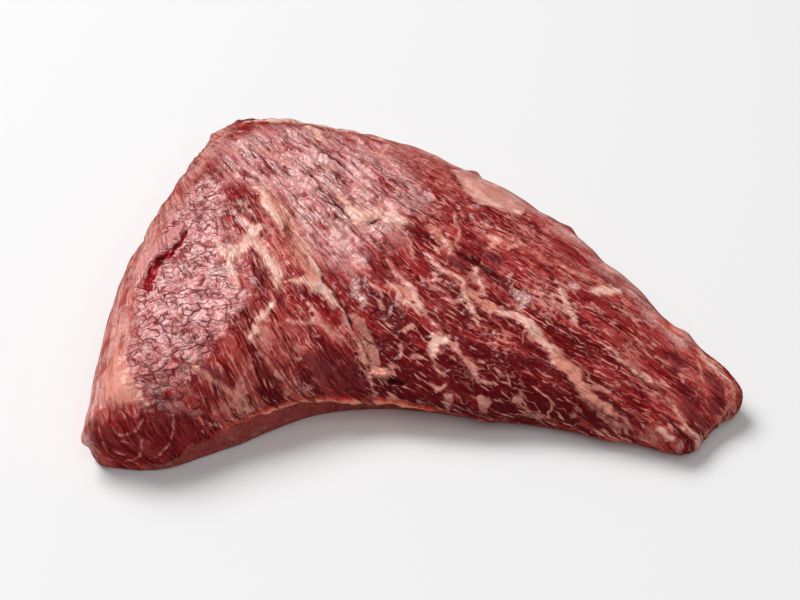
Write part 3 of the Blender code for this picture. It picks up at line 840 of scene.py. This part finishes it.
def meat():
    look = meatLook
    m = Shader("rawBeef")
    place = m.node("TexCoord", output="Object")
    place = m.node("VectorMath", {"operation": "SCALE"}, {0: place, "Scale": 1 / mm})
    bend = m.noise(place, look["bendSize"], detail=1, output="Color")
    fibre = m.node("VectorMath", {"operation": "MULTIPLY_ADD"},
                   {0: bend, 1: (4.0, 1.5, 0), 2: m.attribute("fibre", "Vector")})
    soft = m.node("VectorMath", {"operation": "MULTIPLY_ADD"}, {0: bend, 1: (6.0, 9.0, 6.0), 2: place})
    fat, vein, silver = m.attribute("fat"), m.attribute("vein"), m.attribute("silver")
    ragged = m.noise(place, look["raggedSize"], detail=4, rough=0.6, shift=97.0) - 0.5
    pebble = (m.attribute("pebble") + ragged * 1.5).step(0.15, 0.85)
    crumbly = (m.attribute("pebble") + ragged).step(0.0, 0.4)
    filmAndSheen, marble = m.attribute("filmAndSheen"), m.attribute("marble")
    crack, torn, gloss = m.attribute("crack"), m.attribute("torn"), m.attribute("gloss")
    warm, plainness = m.attribute("warm"), m.attribute("plain")
    flapped, steep = m.attribute("flap"), m.attribute("steep")
    below, crease, tan = m.attribute("below"), m.attribute("crease"), m.attribute("tan")
    skin, leftSkin = m.attribute("skin"), m.attribute("leftSkin")

    # lean: fine threads in bundles, with thin openings between them that are coloured dark as painted
    # shade
    threads = m.flow(fibre, look["threadSize"], detail=1.5, rough=0.6)
    bundles = m.flow(fibre, look["bundleSize"], detail=3, shift=3.0)
    patches = m.noise(place, look["patchSize"], detail=2)
    where = m.noise(place, look["whereSize"], detail=1, shift=9.0)
    # painted light and shade: the lean is paler where pale is high, towards the back right, and darker
    # where shade is high, on faces that turn to the front
    pale = m.attribute("pale") * 0.19
    tone = threads + bundles * 1.4 + patches * 0.8 - m.attribute("shade") * 0.35 + pale
    lean = m.mix(look["deepLean"], look["lean"], tone.step(1.20, 1.86))
    paleShare = (threads * 0.6 + bundles + where * 0.4 + pale).step(0.98, 1.35) * 0.75
    lean = m.mix(lean, look["paleLean"], paleShare)
    longGap = m.gap(fibre, look["longGapSize"], shift=31.0)
    lumpGap = m.gap(fibre, look["lumpGapSize"], shift=29.0)
    pebbleGap = m.gap(soft, look["pebbleGapSize"], dimensions="3D")
    crinkleGap = m.gap(soft, look["crinkleGapSize"], shift=5.0, dimensions="3D")
    openHere = m.flow(fibre, look["openingSize"], shift=37.0).step(0.52, 0.62)
    openings = (1 - longGap.step(0.0, 0.11)) * openHere
    fade = m.noise(place, look["fadeSize"], detail=2, shift=53.0)
    lumps = (1 - lumpGap.step(0.0, 0.08)) * (filmAndSheen * 0.55).orMore(marble * 0.5)
    lumps = lumps * fade.step(0.48, 0.60) * (1 - pebble)
    run = m.flow(fibre, look["runSize"], detail=2, shift=89.0)
    grain = 1 - abs(m.flow(fibre, look["grainSize"], detail=1, shift=61.0) - 0.5).step(0.01, 0.065)
    grain = grain * (filmAndSheen * 0.08 + plainness.step(-1.0, 2.0) * 0.05 + run).step(0.48, 0.56) * (1 - pebble)
    cellEdge = fade.step(0.35, 0.65) * 0.10 + 0.02
    cells = (1 - pebbleGap.step(0.0, cellEdge)) * crumbly * fade.step(0.34, 0.46)
    smallCells = (1 - crinkleGap.step(0.0, where * 0.14)) * pebble * where.step(0.35, 0.55)
    # painted sheen: the film and the pebble tops take the pale lavender film colour, less of it towards
    # the front of the pebbles
    filmed = (filmAndSheen * 0.85).orMore(pebble * (1 - m.attribute("towardFront") * 0.45))
    breaks = m.flow(fibre, look["filmBreakSize"], detail=4, rough=0.6, shift=59.0)
    roundBreaks = m.noise(place, look["pebbleBreakSize"], detail=4, rough=0.6, shift=2.0)
    breaks = breaks + (roundBreaks - breaks) * pebble
    filmed = filmed * (breaks + pale * 0.2).step(0.30, 0.50)
    filmTone = m.flow(fibre, look["filmToneSize"], detail=3, shift=57.0)
    roundTone = m.noise(place, look["pebbleToneSize"], detail=3, shift=57.0)
    filmTone = filmTone + (roundTone - filmTone) * pebble
    filmColour = m.mix(look["filmAndSheen"], look["filmLight"], filmTone.step(0.40, 0.60))
    lean = m.mix(lean, filmColour, filmed * 0.92)

    # marbling: short streaks, larger streaks and broken lines around long islands of lean
    # the pale term adds marbling towards the back right, part of the painted light there
    allow = marble * 0.02 + (where - 0.5) * 0.16 + fat.orMore(warm).step(-7.0, 0.5) * 0.05 + pale * 0.15
    streaks = (m.flow(fibre, look["streakSize"], detail=1, shift=5.0) + allow).step(0.60, 0.72)
    patchesOfFat = m.flow(fibre, look["fatPatchSize"], detail=4, rough=0.6, shift=11.0)
    patchesOfFat = (patchesOfFat + allow).step(0.64, 0.78)
    netWidth = m.flow(fibre, look["netWidthSize"], detail=2, shift=23.0).step(0.46, 0.72) * 0.045 + 0.001
    net = 1 - abs(m.flow(fibre, look["netSize"], detail=2, shift=19.0) - 0.5).step(0.0, netWidth)
    fineNet = abs(m.flow(fibre, look["fineNetSize"], detail=1, shift=13.0) - 0.5)
    fineNet = 1 - fineNet.step(0.0, netWidth * 0.8)
    flecks = (streaks * 0.85).orMore(patchesOfFat * 0.65).orMore(net * 0.7).orMore(fineNet * 0.6)
    smooth = (plainness + (threads - 0.5) * 4.0).step(-0.8, 1.2)
    bare = m.noise(place, look["bareSize"], detail=2, shift=83.0).step(0.40, 0.58)
    flecks = flecks * (0.5 + bare * 0.5) * (1 - skin) * (1 - below)
    flecks = flecks * (1 - pebble * 0.85) * (1 - smooth * 0.85)
    plumColour = m.mix(look["plum"], look["crimson"], steep.orMore(where.step(0.45, 0.6)))
    lean = m.mix(lean, plumColour, smooth * 0.75)

    # seams and patches of fat with frayed edges
    crumbs = m.noise(place, look["crumbSize"], detail=3, rough=0.6, shift=67.0) - 0.5
    fray = (m.flow(fibre, look["fraySize"], detail=4, rough=0.65, shift=7.0) - 0.5) * 4.6 + crumbs * 2.4
    warmed = (warm + fray).step(-1.0, 1.6)
    paler = (fat + fray).step(-0.9, 1.4)
    core = (fat.orMore(vein - 0.8) + fray).step(0.0, 2.2)
    strips = paler.orMore(warmed)
    veins = (vein + fray * 0.5).step(-0.4, 0.7)
    warmth = m.noise(place, look["warmthSize"], detail=3, shift=3.0)
    fatColour = m.mix(look["marbling"], look["fat"], core * (crumbs + 0.5).step(0.20, 0.45))
    fatColour = m.mix(fatColour, look["warmFat"], (warmth.step(0.50, 0.75) * 0.6).orMore(warmed * 0.75))
    solidFat = (strips * 0.90).orMore(veins * 0.80)
    fatShare = flecks.orMore(solidFat)
    colour = m.mix(lean, look["marbling"], flecks)
    colour = m.mix(colour, fatColour, solidFat)
    silvered = (silver + fray * 0.6).step(-0.8, 1.2)
    streaky = m.flow(fibre, look["sheetSize"], detail=3, rough=0.65, shift=47.0)
    silverColour = m.mix(look["silver"], look["fat"], (warmth * 0.7 + streaky * 0.5).step(0.5, 0.8))
    colour = m.mix(colour, silverColour, silvered * 0.85)
    colour = m.mix(colour, look["tan"], (tan + fray * 0.2).step(-0.5, 0.6) * 0.65)
    # painted highlight: wet patches are mixed towards an almost white colour, brightest on the crinkle
    # tops
    wet = (gloss + fray).step(-0.6, 1.2)
    colour = m.mix(colour, look["wetSkinAndHighlight"], wet * (0.35 + crinkleGap.step(0.0, 0.2) * 0.45))

    # membranes on the sides, streaked around the roast
    bands = m.noise(place, look["bandSize"], detail=2, rough=0.6, shift=6.0)
    edgeLines = m.flow(fibre, look["edgeLineSize"], detail=3, rough=0.6, shift=71.0)
    bands = bands + (edgeLines - bands) * leftSkin
    skinTone = (bands * 0.6 + warmth * 0.4).step(0.36, 0.64)
    skinColour = m.mix(look["skinDark"], look["skinLight"], skinTone * 0.85)
    skinColour = m.mix(skinColour, look["wetSkinAndHighlight"], m.attribute("pale").step(-0.6, 0.6) * skinTone * 0.75)
    skinShare = skin * (0.85 - strips * (0.30 + threads * 0.35)) * (1 - silvered * 0.85)
    colour = m.mix(colour, skinColour, skinShare)
    colour = m.mix(colour, look["flap"], flapped * (0.6 + threads * 0.4))
    footTone = (bands * 0.6 + warmth * 0.6).step(0.55, 0.78) * 0.7
    foot = m.mix(look["membrane"], look["membraneLight"], footTone)
    colour = m.mix(colour, foot, below * 0.95)
    glow = crease + fray * 0.5
    rimColour = m.mix(look["rimRed"], look["rim"], glow.step(-0.8, 1.2))
    colour = m.mix(colour, rimColour, glow.step(-2.4, 0.0) * 0.85)
    scores = (1 - abs(edgeLines - 0.5).step(0.0, 0.03)) * skin * fade.step(0.45, 0.6) * 0.5
    # painted shade: the openings and creases between fibres and lumps and the cracks between pebbles are
    # coloured dark red; scores are dark lines on the skin
    dark = (openings * (0.8 - filmAndSheen * 0.5)).orMore(lumps * 0.8).orMore(grain * 0.85) * (1 - skin * 0.85)
    dark = dark.orMore(cells).orMore(smallCells * 0.75).orMore(scores)
    dark = dark * (1 - fatShare * 0.85) * (1 - silvered * 0.8) * (1 - below * 0.7) * (1 - wet * 0.6)
    speckle = m.noise(place, look["speckleSize"], detail=2, rough=0.6, shift=43.0)
    colour = m.mix(colour, m.mix(look["creviceShade"], look["crackRed"], pebble * 0.8), dark)
    plain = 1 - solidFat.orMore(silvered) * 0.7
    colour = m.shade(colour, 1 + (speckle - 0.5) * plain * 1.3)
    # painted shadow: the splits are coloured almost black red, as the shade in them
    colour = m.mix(colour, look["crack"], crack.step(0.35, 1.0) * 0.9)
    # the tear's groove is vivid red, mixed with a dark colour that paints the shade in it
    gash = m.mix(look["creviceShade"], look["torn"], fade.step(0.34, 0.58))
    colour = m.mix(colour, gash, torn.step(0.05, 0.5))
    m.feed(m.surface.inputs["Base Color"], colour)

    softFat = fatShare.orMore(silvered)
    rough = look["leanRoughness"] + (look["fatRoughness"] - look["leanRoughness"]) * softFat
    rough = rough + (warmth - 0.5) * 0.2
    m.feed(m.surface.inputs["Roughness"], rough)
    m.feed(m.surface.inputs["Specular IOR Level"], look["specular"])
    m.feed(m.surface.inputs["Specular Tint"], look["specularTint"])
    m.feed(m.surface.inputs["Coat Weight"],
           (look["coat"] + filmAndSheen * look["filmCoat"] - pebble * look["pebbleCoat"] + wet * look["wetCoat"])
           * (1 - dark.orMore(crack)) * (1 - below.orMore(steep) * 0.7))
    m.feed(m.surface.inputs["Coat Roughness"], look["coatRoughness"])
    m.feed(m.surface.inputs["Subsurface Weight"], look["bleed"])
    m.feed(m.surface.inputs["Subsurface Radius"], look["bleedRadius"])
    m.feed(m.surface.inputs["Subsurface Scale"], look["bleedDepth"] * mm)

    height = (threads * 0.6 + bundles * 0.7) * (1 - pebble * 0.7) + speckle * plain * (0.28 - filmAndSheen * 0.12)
    height = height + fatShare * 0.15
    height = height + bands * skin * 0.8 - (openings + grain) * 0.35
    height = height + wet * crinkleGap.step(0.0, 0.3) * 0.35
    height = height + pebble * (pebbleGap.step(0.0, 0.16) * 0.50 + crinkleGap.step(0.0, 0.24) * 0.15)
    height = height + (filmAndSheen.orMore(marble * 0.5)) * (1 - pebble) * lumpGap.step(0.0, 0.28) * 0.24
    bump = m.node("Bump", {}, {"Strength": 1.0, "Distance": mm, "Height": height * (1 - silvered * 0.6)})
    m.feed(m.surface.inputs["Normal"], bump)
    return m.material


# ---- build

buildStudio()
buildRoast()
